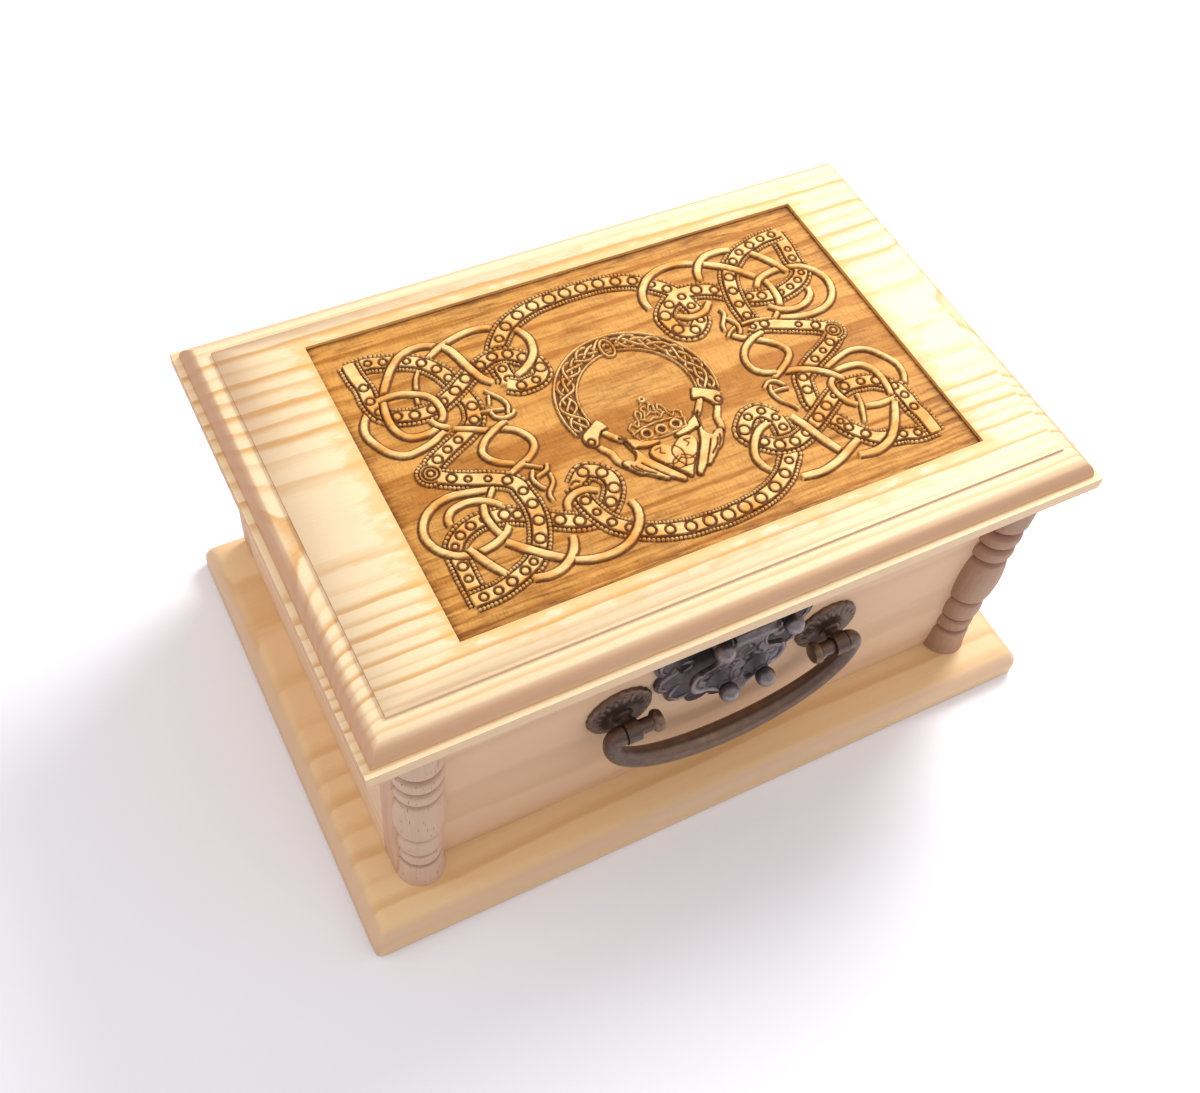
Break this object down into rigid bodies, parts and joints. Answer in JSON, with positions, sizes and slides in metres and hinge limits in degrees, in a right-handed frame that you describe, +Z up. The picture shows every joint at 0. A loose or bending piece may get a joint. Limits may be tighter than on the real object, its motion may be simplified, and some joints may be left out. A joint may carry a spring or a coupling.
{
  "type": "wooden keepsake box",
  "caption": "Small pine box with a hinged, moulded lid carved with interlace, a round-edged base, split turnings at the front corners, a drop handle and a hinged hasp in dark bronze.",
  "frame": {"origin": "middle of the underside of the base board", "axes": "+X to the right along the box's length, seen from the front; +Y from the front, where the handle and hasp are, to the hinges at the back; +Z up"},
  "size_m": [0.2276, 0.1492, 0.1057],
  "materials": {
    "lid_pine": "bare pine, sanded, with a scorched carved panel",
    "body_pine": "bare pine, pale, sanded",
    "base_pine": "bare pine, warm, sanded",
    "turned_pine": "bare turned pine with dark flecks",
    "bronze": "antique bronze, dark, edges worn lighter",
    "plate_bronze": "antique bronze, grey, edges worn lighter",
    "steel": "plain zinc-plated steel",
    "hinge_brass": "satin brass, slightly dulled"
  },
  "bodies": {
    "box": {"base_plate": "base_pine", "front_wall": "body_pine", "back_wall": "body_pine", "left_wall": "body_pine", "right_wall": "body_pine", "spindle_left": "turned_pine", "spindle_right": "turned_pine", "lock_plate": "plate_bronze", "catch_stud": "bronze", "plate_nail_left_1": "bronze", "plate_nail_left_2": "bronze", "plate_nail_right_1": "bronze", "plate_nail_right_2": "bronze", "rosette_left": "bronze", "rosette_right": "bronze", "eye_bolt_left": "bronze", "eye_bolt_right": "bronze", "washer_left": "steel", "washer_right": "steel", "nut_left": "steel", "nut_right": "steel", "hinge_left_body_leaf": "hinge_brass", "hinge_right_body_leaf": "hinge_brass", "hinge_left_pin": "steel", "hinge_right_pin": "steel", "hinge_left_body_screw_1": "hinge_brass", "hinge_left_body_screw_2": "hinge_brass", "hinge_right_body_screw_1": "hinge_brass", "hinge_right_body_screw_2": "hinge_brass"},
    "lid": {"lid_board": "lid_pine", "hasp_bracket": "bronze", "hasp_pin": "steel", "bracket_screw_left": "steel", "bracket_screw_right": "steel", "upper_peg_left": "bronze", "upper_peg_right": "bronze", "hinge_left_lid_leaf": "hinge_brass", "hinge_right_lid_leaf": "hinge_brass", "hinge_left_lid_screw_1": "hinge_brass", "hinge_left_lid_screw_2": "hinge_brass", "hinge_right_lid_screw_1": "hinge_brass", "hinge_right_lid_screw_2": "hinge_brass"},
    "bail": {"bail": "bronze", "bail_pin_left": "bronze", "bail_pin_right": "bronze"},
    "hasp": {"hasp_flap": "bronze", "lower_peg_left": "bronze", "lower_peg_right": "bronze"}
  },
  "joints": [
    {"name": "lid_hinge", "type": "hinge", "parent": "box", "child": "lid", "pos_m": [0, 0.0725, 0.093], "axis": [-1, 0, 0], "range_deg": [0, 110]},
    {"name": "bail_swing", "type": "hinge", "parent": "box", "child": "bail", "pos_m": [0.0005, -0.0647, 0.0563], "axis": [-1, 0, 0], "range_deg": [-8, 150]},
    {"name": "hasp_swing", "type": "hinge", "parent": "lid", "child": "hasp", "pos_m": [0.0005, -0.0639, 0.0841], "axis": [-1, 0, 0], "range_deg": [0, 120]}
  ]
}
